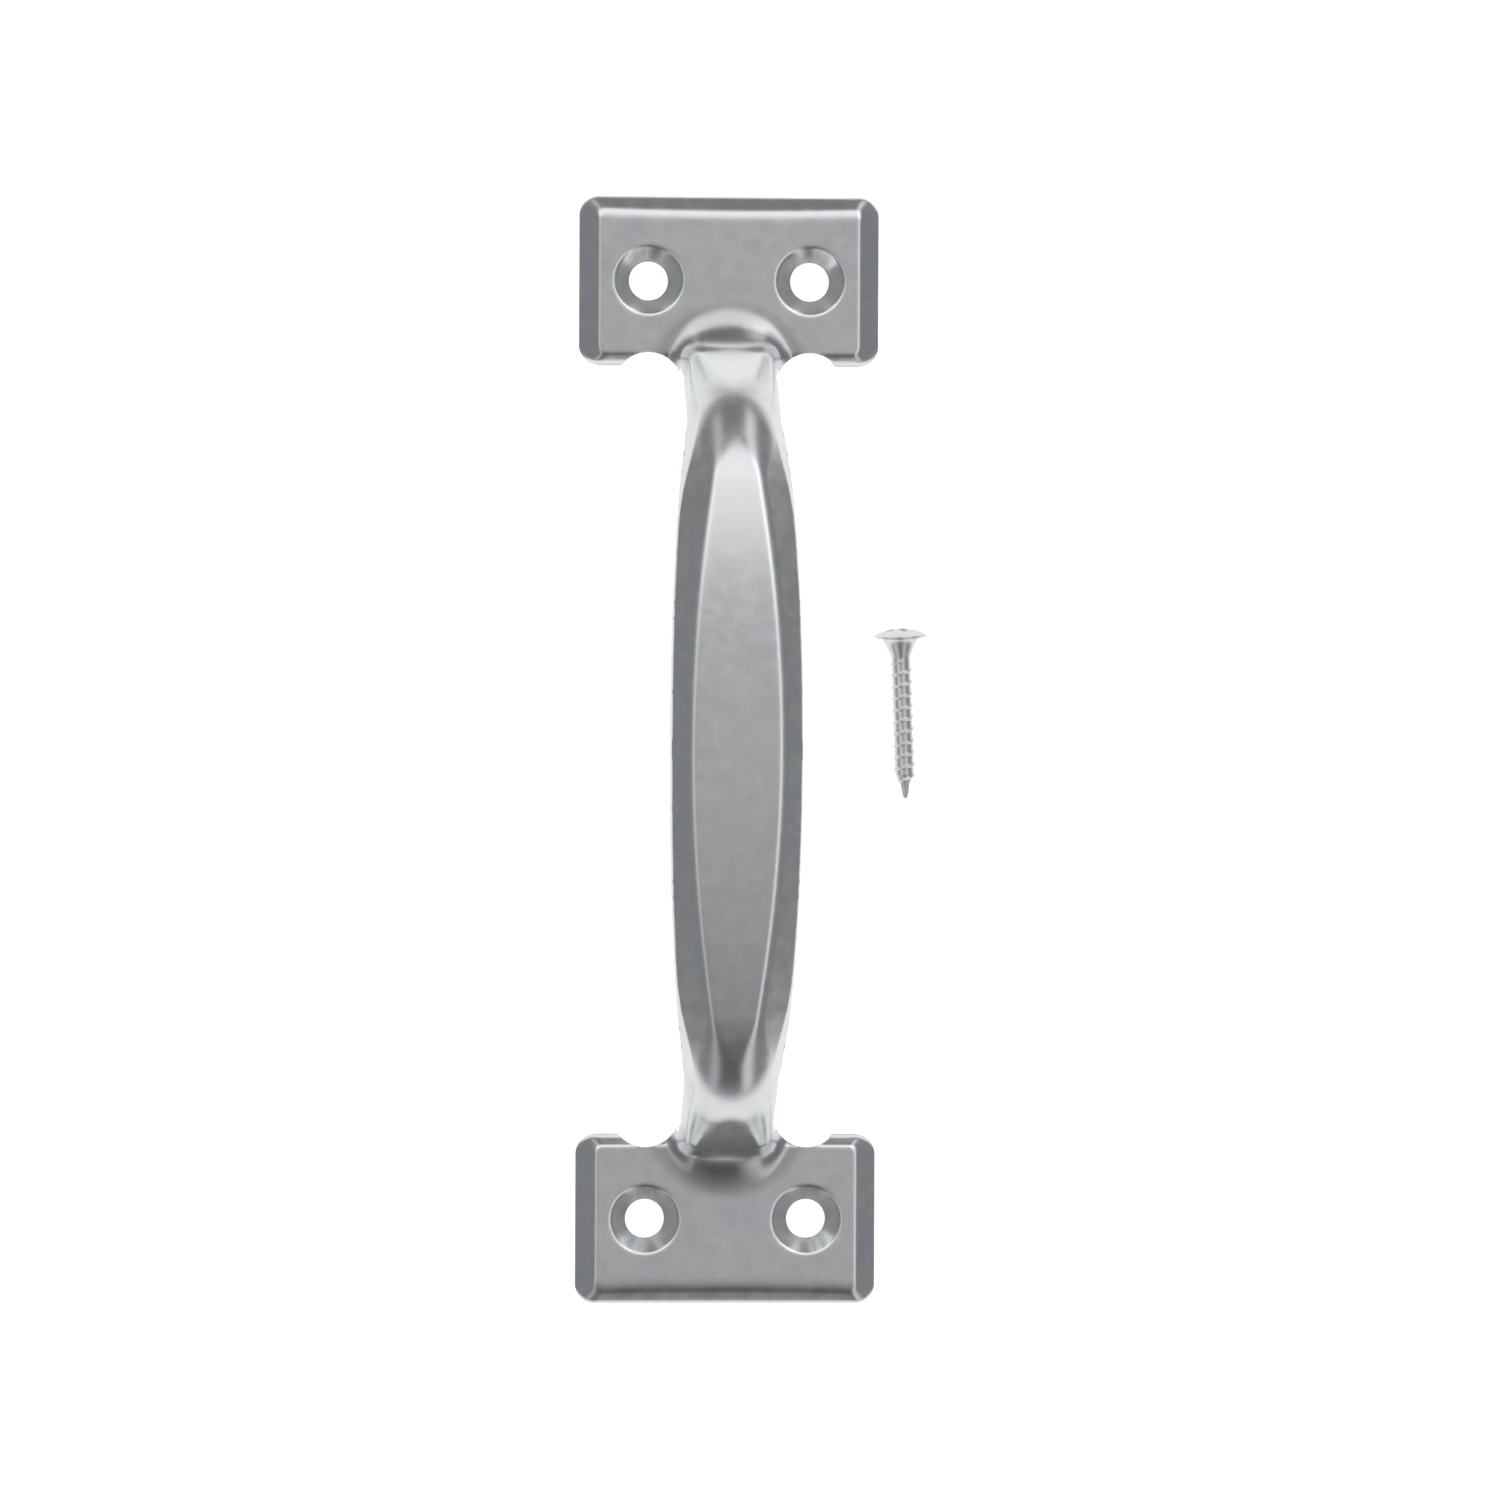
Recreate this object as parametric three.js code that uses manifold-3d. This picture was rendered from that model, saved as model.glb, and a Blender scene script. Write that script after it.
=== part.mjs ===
// A pressed steel pull handle for a window sash, with its four fixing screws lying loose around it.
// Millimetres, +Z out of the sash, +Y up the handle. The origin is the middle of the lower end of the rim
// that rests on the sash.
import * as THREE from "three";
import Module from "manifold-3d";
import { mergeVertices } from "three/addons/utils/BufferGeometryUtils.js";

const { smoothstep, degToRad, lerp, clamp } = THREE.MathUtils;

// ---- Handle ----
const LENGTH = 165.1; // 6 1/2 in. over both feet
const SHEET = 1.2; // steel thickness
const PROJECTION = 32; // outer face of the grip above the sash

const FOOT_WIDTH = 44.8;
const FOOT_LENGTH = 25.4;
const FOOT_RISE = 3.2; // outer face of a foot above the sash
const FOOT_CORNER = 3;
const SIDE_FLANGE_RUN = 2.9; // how far each bent-down edge spreads, seen from the front
const END_FLANGE_RUN = 2.1;
const INNER_FLANGE_RUN = 1.6;
const RIM_WIDTH = 1.5; // flat face of the rim on the sash

const HOLE_SPACING_X = 24.06;
const HOLE_SPACING_Y = 139.7; // 5 1/2 in.
const HOLE_RADIUS = 2.9;
const SINK_RADIUS = 5.1; // mouth of the countersunk dimple
const SINK_FLOOR = 0.9; // straight wall of the hole below the cone
const NOTCH_RADIUS = 5.05;
const NOTCH_INSET = 3.05; // notch centre beyond the inner edge of a foot
const ROOT_FILLET = 2.6;
const ROOT_CORNER = 2.2;

const ARCH_TILT = degToRad(12); // slope where the grip's arch meets the shoulder
const LEG_TILT = degToRad(61.5);
const ARCH_END_Y = 38.8; // half length of the arch
const SHOULDER_RADIUS = 24;

const GRIP_HALF_WIDTH = 9.7;
const LEG_HALF_WIDTH = 6.95;
const CHANNEL_DEPTH = 4.9; // of the grip's folded sides, square to its outer face
const CROWN_HALF_WIDTH = 6.7;
const FACET_TILT = degToRad(43);
const CROWN_BEND = 1.6;
const SHOULDER_CROWN_BEND = 7; // the crown is rounder over the shoulder
const LIP_BEND = 1.5;

// ---- Screws ----
const SCREW_HEAD_RADIUS = 3.95;
const SCREW_RIM_HEIGHT = 24.4; // tip to the sharp rim of the head
const SCREW_DOME = 1;
const SCREW_CORE_RADIUS = 1.3;
const POINT_RADIUS = 0.7; // where the thread begins
const SHANK_RADIUS = 1.34; // plain stretch under the head
const SCREW_THREAD_RADIUS = 1.78;
const SCREW_PITCH = 1.76;
const THREAD_START = 2.4; // above the tip
const THREAD_FULL = 4.6; // height at which the thread reaches its full radius
const THREAD_END = 20;

const wasm = await Module();
wasm.setup();

// ---- Solids ----
const solidOf = (geometry) => {
  const bare = geometry.clone();
  bare.deleteAttribute("normal");
  bare.deleteAttribute("uv");
  const merged = mergeVertices(bare, 1e-4);
  const vertProperties = merged.attributes.position.array;
  const triVerts = new Uint32Array(merged.index.array);
  return new wasm.Manifold(new wasm.Mesh({ numProp: 3, vertProperties, triVerts }));
};

const geometryOf = (solid) => {
  const { vertProperties, triVerts } = solid.getMesh();
  const geometry = new THREE.BufferGeometry();
  geometry.setAttribute("position", new THREE.BufferAttribute(vertProperties, 3));
  geometry.setIndex(new THREE.BufferAttribute(triVerts, 1));
  return geometry;
};

// A closed solid through loops of equal count, which run anticlockwise seen from its last end. The ends are
// closed by cap, a list of triangles of the first loop.
const loft = (loops, cap) => {
  const count = loops[0].length;
  const index = [];
  for (let row = 0; row + 1 < loops.length; row++) {
    for (let i = 0; i < count; i++) {
      const [a, b] = [row * count + i, row * count + ((i + 1) % count)];
      index.push(a, b, b + count, a, b + count, a + count);
    }
  }
  const last = (loops.length - 1) * count;
  for (const [a, b, c] of cap) index.push(a, c, b, last + a, last + b, last + c);
  const geometry = new THREE.BufferGeometry();
  const positions = loops.flat().flatMap((point) => point.toArray());
  geometry.setAttribute("position", new THREE.Float32BufferAttribute(positions, 3));
  geometry.setIndex(index);
  return solidOf(geometry);
};

const fan = (count) => Array.from({ length: count - 2 }, (_, i) => [0, i + 1, i + 2]);

// A solid of revolution about Z through (radius, z) points that start and end on the axis, lowest first.
const lathe = (points, segments) => {
  const geometry = new THREE.LatheGeometry(points.map(([r, z]) => new THREE.Vector2(r, z)), segments);
  return solidOf(geometry.rotateX(Math.PI / 2));
};

const boxBetween = (low, high) => {
  const size = high.map((v, i) => v - low[i]);
  const middle = high.map((v, i) => (v + low[i]) / 2);
  return solidOf(new THREE.BoxGeometry(...size).translate(...middle));
};

// Quarter arcs, one per [x, y, start angle, radius] corner.
const roundedLoop = (corners, z) => {
  const steps = 4;
  return corners.flatMap(([x, y, start, radius]) =>
    Array.from({ length: steps + 1 }, (_, i) => {
      const angle = degToRad(start + (90 * i) / steps);
      return new THREE.Vector3(x + radius * Math.cos(angle), y + radius * Math.sin(angle), z);
    }),
  );
};

// ---- Foot at the +Y end ----
const FOOT_INNER_Y = LENGTH / 2 - FOOT_LENGTH;
const UNDERSIDE = FOOT_RISE - SHEET;

// The foot's outline at height z, pulled in from its sides, its outer end and its inner end.
const footLoop = (side, end, inner, radius, z) => {
  const x = FOOT_WIDTH / 2 - side - radius;
  const low = FOOT_INNER_Y + inner + radius;
  const high = LENGTH / 2 - end - radius;
  const corners = [
    [x, low, -90, radius],
    [x, high, 0, radius],
    [-x, high, 90, radius],
    [-x, low, 180, radius],
  ];
  return roundedLoop(corners, z);
};

// The bent-down edge from rim to flat, as shares of its run and of the rise.
const EDGE_PROFILE = [
  [0, 0],
  [0.72, 0.84],
  [0.9, 0.97],
  [1.1, 1],
];

const footSolid = (inset, top) => {
  const loops = EDGE_PROFILE.map(([run, rise]) =>
    footLoop(
      inset + run * SIDE_FLANGE_RUN,
      inset + run * END_FLANGE_RUN,
      inset + run * INNER_FLANGE_RUN,
      Math.max(FOOT_CORNER - inset - 0.6 * run * END_FLANGE_RUN, 0.4),
      rise * top,
    ),
  );
  return loft(loops, fan(loops[0].length));
};

const footHollow = () => {
  const mouth = [-1, 0].map((z) => footLoop(RIM_WIDTH, RIM_WIDTH, RIM_WIDTH, FOOT_CORNER - RIM_WIDTH, z));
  return loft(mouth, fan(mouth[0].length)).add(footSolid(RIM_WIDTH, UNDERSIDE));
};

// The root of the leg, where its front and sides flare into the foot. With an inset it is the hollow.
const rootSolid = (inset) => {
  const back = FOOT_INNER_Y - 1.5 - inset;
  const loopAt = (degrees) => {
    const angle = degToRad(degrees);
    const spread = ROOT_FILLET * (1 - Math.sin(angle)) - inset;
    const z = FOOT_RISE + ROOT_FILLET * (1 - Math.cos(angle)) - inset;
    const radius = ROOT_CORNER + Math.max(spread, 0);
    const x = LEG_HALF_WIDTH + spread - radius;
    const front = stationOnLeg(z).y + spread - radius;
    const corners = [
      [x, front, 0, radius],
      [-x, front, 90, radius],
    ];
    const backEdge = [-1, 1].map((side) => new THREE.Vector3(side * (x + radius), back, z));
    return [...roundedLoop(corners, z), ...backEdge];
  };
  const flare = [0, 22, 45, 68, 90].map(loopAt);
  const base = flare[0].map((p) => new THREE.Vector3(p.x, p.y, inset ? -1 : UNDERSIDE));
  return loft([base, ...flare], fan(base.length));
};

const underRoot = () => {
  const x = LEG_HALF_WIDTH + ROOT_FILLET;
  const high = FOOT_INNER_Y + RIM_WIDTH + INNER_FLANGE_RUN;
  return boxBetween([-x, FOOT_INNER_Y - 2, -1], [x, high, UNDERSIDE]);
};

const holeAt = (side) => [(side * HOLE_SPACING_X) / 2, HOLE_SPACING_Y / 2, 0];

const dimple = (side) => {
  const outline = [
    [0, 0],
    [HOLE_RADIUS + 1, 0],
    [SINK_RADIUS + 0.6, UNDERSIDE],
    [SINK_RADIUS + 0.6, FOOT_RISE],
    [0, FOOT_RISE],
  ];
  return lathe(outline, 24).translate(holeAt(side));
};

const sink = (side) => {
  const outline = [
    [0, -1],
    [HOLE_RADIUS, -1],
    [HOLE_RADIUS, SINK_FLOOR],
    [SINK_RADIUS, FOOT_RISE],
    [SINK_RADIUS, FOOT_RISE + 1],
    [0, FOOT_RISE + 1],
  ];
  return lathe(outline, 24).translate(holeAt(side));
};

const notch = (side) => {
  const outline = [
    [0, -1],
    [NOTCH_RADIUS, -1],
    [NOTCH_RADIUS, PROJECTION],
    [0, PROJECTION],
  ];
  return lathe(outline, 32).translate([(side * HOLE_SPACING_X) / 2, FOOT_INNER_Y - NOTCH_INSET, 0]);
};

// ---- Grip and legs ----
const ARCH_RADIUS = ARCH_END_Y / Math.sin(ARCH_TILT);
const SHOULDER_END_Y = ARCH_END_Y + SHOULDER_RADIUS * (Math.sin(LEG_TILT) - Math.sin(ARCH_TILT));
const SHOULDER_END_Z =
  PROJECTION -
  ARCH_RADIUS * (1 - Math.cos(ARCH_TILT)) -
  SHOULDER_RADIUS * (Math.cos(ARCH_TILT) - Math.cos(LEG_TILT));

// Points down the middle of the outer face, from the middle of the grip to the +Y foot.
const stationOnArch = (tilt) => ({
  tilt,
  y: ARCH_RADIUS * Math.sin(tilt),
  z: PROJECTION - ARCH_RADIUS * (1 - Math.cos(tilt)),
});

const stationOnShoulder = (tilt) => ({
  tilt,
  y: SHOULDER_END_Y - SHOULDER_RADIUS * (Math.sin(LEG_TILT) - Math.sin(tilt)),
  z: SHOULDER_END_Z + SHOULDER_RADIUS * (Math.cos(tilt) - Math.cos(LEG_TILT)),
});

const stationOnLeg = (z) => ({
  tilt: LEG_TILT,
  y: SHOULDER_END_Y + (SHOULDER_END_Z - z) / Math.tan(LEG_TILT),
  z,
});

const allStations = (legEnd) => {
  const arch = Array.from({ length: 10 }, (_, i) => stationOnArch((ARCH_TILT * i) / 10));
  const shoulder = Array.from({ length: 9 }, (_, i) =>
    stationOnShoulder(ARCH_TILT + ((LEG_TILT - ARCH_TILT) * i) / 8),
  );
  const half = [...arch, ...shoulder, stationOnLeg(legEnd)];
  const mirrored = half.slice(1).map(({ tilt, y, z }) => ({ tilt: -tilt, y: -y, z }));
  return [...mirrored.reverse(), ...half];
};

// The points that round corner i of a polyline.
const roundedCorner = (corners, i, radius, steps) => {
  const [before, corner, after] = [i - 1, i, i + 1].map((k) => new THREE.Vector2(...corners[k]));
  const along = corner.clone().sub(before).normalize();
  const onward = after.clone().sub(corner).normalize();
  const turn = Math.acos(Math.min(along.dot(onward), 1));
  const shortest = Math.min(corner.distanceTo(before), corner.distanceTo(after));
  const reach = clamp(radius * Math.tan(turn / 2), 0.15, shortest / 2.2);
  const start = corner.clone().addScaledVector(along, -reach);
  const end = corner.clone().addScaledVector(onward, reach);
  const curve = new THREE.QuadraticBezierCurve(start, corner, end);
  return Array.from({ length: steps + 1 }, (_, k) => curve.getPoint(k / steps).toArray());
};

// Right half of the outer face across the grip, as [x, depth]: flat crown, folded facet, steep lip.
const halfSection = (y) => {
  const away = Math.abs(y);
  const swell = Math.max(1 - (away / 52) ** 2.4, 0);
  const half = LEG_HALF_WIDTH + (GRIP_HALF_WIDTH - LEG_HALF_WIDTH) * swell;
  const narrowing = Math.max(1 - (away / 56.5) ** 2, 0.5);
  const openOut = smoothstep(away, 50, 60);
  const crown = lerp(CROWN_HALF_WIDTH * narrowing, LEG_HALF_WIDTH - 1.9, openOut);
  const lipRun = 0.3 + 1.4 * smoothstep(away, 25, 47);
  const edge = half - lipRun;
  const corners = [
    [0, 0],
    [crown, 0],
    [edge, (edge - crown) * Math.tan(FACET_TILT)],
    [half, CHANNEL_DEPTH],
  ];
  const bend = lerp(CROWN_BEND, SHOULDER_CROWN_BEND, smoothstep(away, 40, 47));
  const crownBend = roundedCorner(corners, 1, bend, 2);
  const lipBend = roundedCorner(corners, 2, LIP_BEND, 3);
  return [corners[0], ...crownBend, ...lipBend, corners[3]];
};

// The channel's section at a station. With an inset it is the hollow under the sheet.
const channelLoop = (station, inset) => {
  const points = halfSection(station.y);
  const half = points.map(([x, depth]) => [x * (1 - inset / points.at(-1)[0]), depth + inset]);
  const left = half.slice(1).map(([x, depth]) => [-x, depth]);
  return [...left.reverse(), ...half].map(
    ([x, depth]) =>
      new THREE.Vector3(
        x,
        station.y - depth * Math.sin(station.tilt),
        station.z - depth * Math.cos(station.tilt),
      ),
  );
};

const channelSolid = (inset, legEnd) => {
  const loops = allStations(legEnd).map((station) => channelLoop(station, inset));
  return loft(loops, fan(loops[0].length));
};

const bothEnds = (solid) => solid.add(solid.rotate([0, 0, 180]));

const handleSolid = () => {
  const reach = LENGTH / 2;
  const belowFeet = boxBetween([-FOOT_WIDTH, -reach, -PROJECTION], [FOOT_WIDTH, reach, UNDERSIDE]);
  return channelSolid(0, UNDERSIDE)
    .subtract(belowFeet)
    .add(bothEnds(footSolid(0, FOOT_RISE).add(rootSolid(0))))
    .subtract(channelSolid(SHEET, -2))
    .subtract(bothEnds(footHollow().add(rootSolid(SHEET)).add(underRoot())))
    .subtract(bothEnds(notch(-1).add(notch(1))))
    .add(bothEnds(dimple(-1).add(dimple(1))))
    .subtract(bothEnds(sink(-1).add(sink(1))));
};

// ---- Screw, tip at the origin and head along +Z ----
const screwHead = () => {
  const bottom = THREAD_END - SCREW_PITCH;
  const shank = [
    [0, bottom],
    [SHANK_RADIUS, bottom],
  ];
  const underHead = [
    [SHANK_RADIUS, 3.3],
    [1.66, 2.2],
    [2.15, 1.1],
    [2.8, 0.4],
    [SCREW_HEAD_RADIUS - 0.1, 0.1],
    [SCREW_HEAD_RADIUS, 0],
  ].map(([r, below]) => [r, SCREW_RIM_HEIGHT - below]);
  const dome = [0.35, 0.65, 0.88].map((share) => [
    SCREW_HEAD_RADIUS * Math.sqrt(1 - share ** 2),
    SCREW_RIM_HEIGHT + SCREW_DOME * share,
  ]);
  return lathe([...shank, ...underHead, ...dome, [0, SCREW_RIM_HEIGHT + SCREW_DOME]], 20);
};

// The threaded body: rows of points that climb one pitch in each turn, so every row ends where the row one
// pitch above it begins. Both open ends close onto the axis.
const threadedBody = () => {
  const around = 12;
  const phases = [0, 0.45, 0.72]; // start of the root, end of the root, crest
  const perPitch = phases.length;
  const rows = perPitch * Math.round((THREAD_END - THREAD_START) / SCREW_PITCH);
  const pointAt = (row, i) => {
    const phase = phases[row % perPitch];
    const angle = (2 * Math.PI * i) / around;
    const z = THREAD_START + SCREW_PITCH * (Math.floor(row / perPitch) + phase + i / around);
    const growth = clamp((z - THREAD_START) / (THREAD_FULL - THREAD_START), 0, 1);
    const core = lerp(POINT_RADIUS, SCREW_CORE_RADIUS, growth);
    const r = row % perPitch === 2 ? lerp(core, SCREW_THREAD_RADIUS, 0.3 + 0.7 * growth) : core;
    return [r * Math.cos(angle), r * Math.sin(angle), z];
  };
  const columns = Array.from({ length: around }, (_, i) => i);
  const pitchRows = Array.from({ length: perPitch }, (_, k) => k);
  const positions = [];
  for (let row = 0; row <= rows; row++) columns.forEach((i) => positions.push(...pointAt(row, i)));
  const apex = positions.length / 3;
  positions.push(0, 0, 0, 0, 0, THREAD_END + SCREW_PITCH);

  const at = (row, i) => (i < around ? row * around + i : (row + perPitch) * around);
  const index = [];
  for (let row = 0; row < rows; row++) {
    for (const i of columns) {
      if (i + 1 === around && row + 1 + perPitch > rows) continue;
      const [a, b, c, d] = [at(row, i), at(row, i + 1), at(row + 1, i + 1), at(row + 1, i)];
      index.push(a, b, c, a, c, d);
    }
  }
  const closeOnto = (tip, edge) =>
    edge.forEach((from, k) => index.push(edge[(k + 1) % edge.length], from, tip));
  closeOnto(apex, [...columns, ...pitchRows.map((k) => at(perPitch - k, 0))]);
  closeOnto(apex + 1, [
    ...pitchRows.map((k) => at(rows - perPitch + k, around - 1)),
    ...columns.map((i) => at(rows, around - 1 - i)),
  ]);
  const geometry = new THREE.BufferGeometry();
  geometry.setAttribute("position", new THREE.Float32BufferAttribute(positions, 3));
  geometry.setIndex(index);
  return solidOf(geometry);
};

// The crossed recess for the driver, tapering as it goes down.
const recess = () => {
  const top = SCREW_RIM_HEIGHT + SCREW_DOME;
  const axis = new THREE.Vector3(0, 0, 1);
  const crossAt = (arm, wing, z) =>
    [0, 90, 180, 270].flatMap((turn) =>
      [[arm, -wing], [arm, wing], [wing, wing]].map(([x, y]) =>
        new THREE.Vector3(x, y, z).applyAxisAngle(axis, degToRad(turn)),
      ),
    );
  const loops = [
    crossAt(0.9, 0.3, top - 2.1),
    crossAt(2.1, 0.5, top - 0.25),
    crossAt(2.1, 0.5, top + 1),
  ];
  const flat = loops[0].map((p) => new THREE.Vector2(p.x, p.y));
  return loft(loops, THREE.ShapeUtils.triangulateShape(flat, []));
};

const screwGeometry = geometryOf(screwHead().add(threadedBody()).subtract(recess()));

// ---- Assembly ----
const zincPlate = (color) => new THREE.MeshStandardMaterial({ color, roughness: 0.35, metalness: 1 });
const part = new THREE.Group();
part.position.y = LENGTH / 2 - RIM_WIDTH / 2;

const handle = new THREE.Mesh(geometryOf(handleSolid()), zincPlate(0xb4b8bc));
handle.name = "pull_handle";
part.add(handle);

// A screw lies on its head's rim and on its first full turn of thread.
const REST_PITCH = Math.atan(
  (SCREW_HEAD_RADIUS - SCREW_THREAD_RADIUS) / (SCREW_RIM_HEIGHT - THREAD_FULL),
);
const REST_TIP_HEIGHT =
  SCREW_THREAD_RADIUS * Math.cos(REST_PITCH) - THREAD_FULL * Math.sin(REST_PITCH);
const SCREWS = [
  { x: 26.1, y: 5.6, yaw: 2.6 },
  { x: 0, y: 27.5, yaw: -3 },
  { x: 0, y: 0, yaw: 2 },
  { x: 0, y: -27.5, yaw: -1 },
];

SCREWS.forEach(({ x, y, yaw }, i) => {
  const screw = new THREE.Mesh(screwGeometry, zincPlate(0xc2c6ca));
  screw.name = `fixing_screw_${i + 1}`;
  screw.rotation.x = REST_PITCH - Math.PI / 2;
  screw.position.set(0, -(SCREW_RIM_HEIGHT + SCREW_DOME) / 2, REST_TIP_HEIGHT);
  const lying = new THREE.Group();
  lying.rotation.z = degToRad(yaw);
  lying.position.set(x, y, 0);
  lying.add(screw);
  part.add(lying);
});

export default part;
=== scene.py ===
"""A pressed steel sash lift and its four wood screws, zinc plated, laid out on a white table."""
import math

import bpy
import numpy as np
from mathutils import Matrix, Vector


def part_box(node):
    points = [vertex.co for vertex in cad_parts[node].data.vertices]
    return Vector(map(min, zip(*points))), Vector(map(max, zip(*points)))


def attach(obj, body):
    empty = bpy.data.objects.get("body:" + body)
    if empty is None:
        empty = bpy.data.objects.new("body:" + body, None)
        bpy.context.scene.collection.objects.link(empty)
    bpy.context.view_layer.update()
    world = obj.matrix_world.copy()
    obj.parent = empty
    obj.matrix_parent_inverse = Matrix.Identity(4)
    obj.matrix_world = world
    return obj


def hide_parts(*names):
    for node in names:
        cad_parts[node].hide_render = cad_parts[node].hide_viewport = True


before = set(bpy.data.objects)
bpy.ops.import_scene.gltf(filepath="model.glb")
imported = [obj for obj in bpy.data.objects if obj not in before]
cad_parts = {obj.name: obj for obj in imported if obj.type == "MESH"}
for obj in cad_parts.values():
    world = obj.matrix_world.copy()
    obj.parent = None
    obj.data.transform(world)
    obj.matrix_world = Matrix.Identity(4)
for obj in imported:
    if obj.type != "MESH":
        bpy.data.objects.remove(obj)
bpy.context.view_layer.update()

MM = 0.001

# ---- Driving dimensions, in millimetres from the middle of the handle's base ----
HANDLE_LOW, HANDLE_HIGH = (np.array(corner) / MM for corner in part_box("pull_handle"))
WIDTH, LENGTH, PROJECTION = HANDLE_HIGH - HANDLE_LOW
CENTRE = np.append((HANDLE_LOW + HANDLE_HIGH)[:2] / 2, HANDLE_LOW[2])

SHEET = 1.2
FOOT_RISE = 3.2
FOOT_INNER_Y = LENGTH / 2 - 25.4
RIM_CORNER, FLAT_CORNER = 3.4, 1.3  # the corners' radii at the foot of the edges and at their top
FOOT_BEND = 1.3
FOOT_SLOPE = math.radians(40)  # how steeply the edges are bent down
SIDE_RUN, END_RUN, INNER_RUN = 2.9, 2.2, 1.6  # how far the bent-down edges spread
SIDE_EASE, END_EASE, INNER_EASE = 0.2, 0.4, 1.0  # how gently each edge's slope ends in its upright rim
END_BOW = 0.4  # how much the end's bend bows inwards at the middle
EASE_TILT, EASE_RUN, EASE_BEND = math.radians(14), 0.9, 7  # the flat dips a little before the end's bend
UNDERSIDE = FOOT_RISE - SHEET

HOLE_X, HOLE_Y = 12.03, LENGTH / 2 - 12.7
HOLE_RADIUS = 2.9
SINK_RADIUS = 5.1
SINK_FLOOR = 1.15
SINK_SLOPE = math.atan((FOOT_RISE - SINK_FLOOR) / (SINK_RADIUS - HOLE_RADIUS))
SINK_LIP = 0.9
NOTCH_RADIUS = 5.05
NOTCH_Y = FOOT_INNER_Y - 3.05
FLANGE_END_X = HOLE_X + 0.7 * NOTCH_RADIUS  # the bent-down inner edge starts beyond the notch
TIP_X, TIP_Y = 7.5, 56.2  # the sharp points beside the leg
TIP_STEEPNESS = 2  # of the foot's outline from the point towards the leg
TIP_ROOM_X = 9  # no metal of the foot reaches past its inner edge from here outwards
RELIEF_START_Y, RELIEF_END_X = 52.4, TIP_X + 0.7  # the narrow cut between the leg and the point
RELIEF_GAP = 0.1
ROOT_OPENING = 3.1  # how far the hollow under the leg reaches into the foot
ROOT_FILLET = 8.3

ARCH_TILT, LEG_TILT = math.radians(12), math.radians(61.5)
ARCH_END_Y = 38.8
SHOULDER_RADIUS = 24
GRIP_HALF_WIDTH, LEG_HALF_WIDTH = 9.7, 6.95
GRIP_END_Y, GRIP_FULLNESS = 52, 2.4  # where the outline reaches the leg's width, and how full it is
CHANNEL_DEPTH = 4.9
CROWN_HALF_WIDTH, CROWN_TAPER_Y = 6.75, 56.5  # the crown would taper to nothing at CROWN_TAPER_Y
CROWN_NARROWEST, CROWN_EASE = 0.47, 0.06  # but it keeps this share of its width, after a soft turn
FACET_TILT = math.radians(43)
# Sizes that change along the handle, as stops of (distance from its middle, size)
CROWN_SPREAD = ((52, 0), (61, 2.4))  # the crown widens again down the leg
CROWN_BEND = ((39, 2.4), (47, 8.3), (52, 8.3), (60, 2.3))  # radius of the crown's edges
LIP_RUN = ((33, 0.15), (50, 1.65), (51, 1.65), (57, 0.75))  # how far the lips spread as they drop
LIP_BEND = ((34, 0.75), (50, 1.6))  # radius of the edges above the lips
ROOT_DROP = ((58.5, 0), (61.5, 2.3))  # how far the leg's face falls back at its sides
HANDLE_STEP = 0.382  # spacing of the grid the surface is drawn from

SCREW_NODES = [f"fixing_screw_{n}" for n in range(1, 5)]
SCREW_YAWS = (2.6, -3, 2, -1)  # degrees from the handle's length
SCREW_SPINS = (20, 75, 40, 10)  # degrees about each screw's own length
SCREW_LENGTH = 25.4
HEAD_RADIUS, DOME_HEIGHT = 3.95, 1.0
CORE_RADIUS, THREAD_RADIUS = 1.37, 1.74
CONE_HEIGHT, CONE_SPREAD = 3.3, 1.25  # under the head
BRIM_THINNING = 0.35  # how fast the head thins outside the cone
RIM_THICKNESS, RIM_SLOPE = 0.3, 0.6  # the bevelled edge of the head
THREAD_PITCH = 1.76
THREAD_START, THREAD_FULL, THREAD_END = 2.0, 3.6, 20.2
THREAD_FLANK = 2.0  # how far the thread's sides fall for each millimetre along the screw
CREST_ROUNDING, CREST_FLAT = 0.12, 0.05
POINT_PLACES, POINT_RADII = (0, 0.5, THREAD_START, THREAD_FULL), (0.26, 0.45, 0.7, CORE_RADIUS)
CREST_PLACES = (THREAD_START - 0.3, THREAD_START + 0.3, THREAD_FULL, THREAD_END, THREAD_END + 0.9)
CREST_RADII = (0.5, 1.05, THREAD_RADIUS, THREAD_RADIUS, CORE_RADIUS - 0.25)
SCREW_ROUNDING, RECESS_ROUNDING = 0.12, 0.1
RECESS_DEPTH = 2.4
RECESS_ARM, RECESS_WING, RECESS_HUB = (2.25, 0.95), (0.5, 0.36), (1.0, 0.6)  # at its top, at its bottom
SCREW_STEP = 0.1
SHARP_ANGLE = math.radians(31)  # edges that turn more than this are shaded sharp

# How the surface's vertices are placed in the grid
STIFFNESS = 0.08  # pull towards the middle of a cell's crossings, which settles flat places
REACH = 0.7  # how far a vertex may leave that middle, in grid steps
SEARCH_STEPS = 3
SLOPE_STEP = 0.01


# ---- Surfaces from distance fields: a field is negative inside the solid ----
def round_max(a, b, r):
    """Where two solids overlap, with edges rounded to radius r."""
    edge = np.hypot(np.maximum(a + r, 0), np.maximum(b + r, 0))
    return edge + np.minimum(np.maximum(a, b) + r, 0) - r


def round_min(a, b, r):
    """Two solids joined, with a fillet of radius r."""
    return -round_max(-a, -b, r)


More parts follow.
